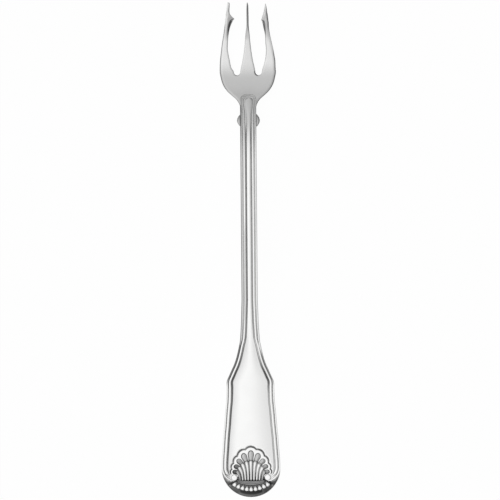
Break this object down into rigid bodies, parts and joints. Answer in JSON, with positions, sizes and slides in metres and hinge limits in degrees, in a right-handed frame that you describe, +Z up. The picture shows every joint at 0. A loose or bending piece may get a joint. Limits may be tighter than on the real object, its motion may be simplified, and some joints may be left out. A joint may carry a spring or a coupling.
{
  "type": "oyster fork",
  "caption": "Slender polished metal oyster fork with three barbed tines, thread-bordered fiddle handle and a scallop shell at its end.",
  "frame": {"origin": "centre of the fork's length and width, on the table that it lies on", "axes": "+Y towards the tine tips, +X to the right of the decorated face with the tines away, +Z up, out of the decorated face"},
  "size_m": [0.0174, 0.146, 0.0083],
  "materials": {
    "polished_metal": "polished silver-coloured metal with fine hairlines, a little darker in the grooves of the ornament"
  },
  "bodies": {
    "root": {"left_tine": "polished_metal", "centre_tine": "polished_metal", "right_tine": "polished_metal", "palm": "polished_metal", "neck": "polished_metal", "stem": "polished_metal", "left_lug": "polished_metal", "right_lug": "polished_metal", "blade": "polished_metal", "handle_end": "polished_metal", "outer_thread": "polished_metal", "inner_thread": "polished_metal", "stem_strip": "polished_metal", "shell_fan": "polished_metal", "shell_ribs": "polished_metal", "left_ball": "polished_metal", "right_ball": "polished_metal", "base_band": "polished_metal", "fringe": "polished_metal"}
  },
  "joints": []
}
